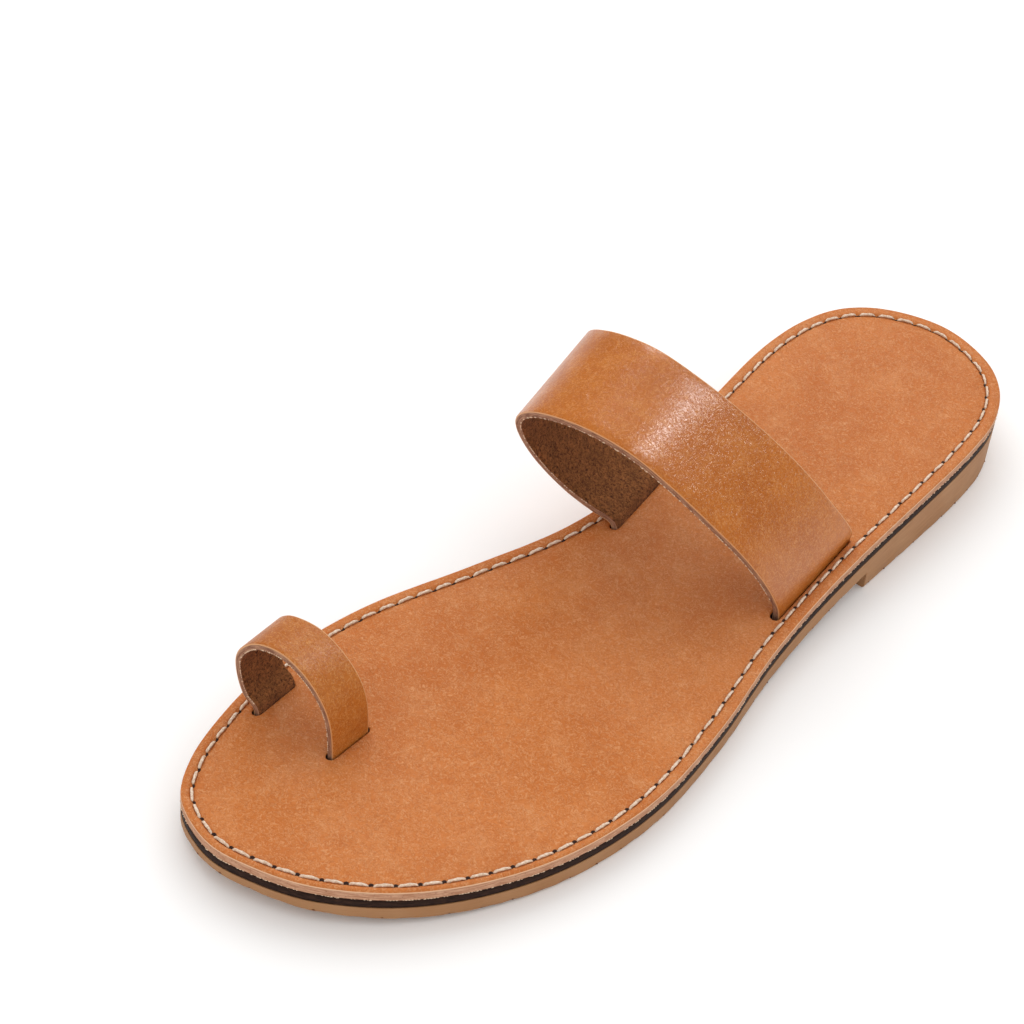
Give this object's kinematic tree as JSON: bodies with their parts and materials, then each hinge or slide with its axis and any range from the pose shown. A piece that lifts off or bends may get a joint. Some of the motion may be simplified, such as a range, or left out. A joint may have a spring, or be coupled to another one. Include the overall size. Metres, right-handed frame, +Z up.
{
  "type": "toe loop sandal",
  "caption": "Flat leather sandal for the left foot, with a layered sole, a low heel, a broad strap over the instep and a narrow loop for the big toe.",
  "frame": {"origin": "middle of the sole seen from above, at the floor", "axes": "+Z up, +Y from toe to heel, -X towards the big toe side, +X towards the little toe side"},
  "size_m": [0.0902, 0.2666, 0.0634],
  "materials": {
    "footbed_leather": "smooth tan vegetable tanned leather with a sewn rim",
    "strap_leather": "smooth tan leather, dark suede on the inside",
    "midsole_board": "dark brown fibre board with a buffed edge",
    "sole_rubber": "honey coloured rubber with a buffed edge"
  },
  "bodies": {
    "root": {"insole": "footbed_leather", "midsole": "midsole_board", "outsole": "sole_rubber", "instep_strap": "strap_leather", "toe_loop": "strap_leather"}
  },
  "joints": []
}
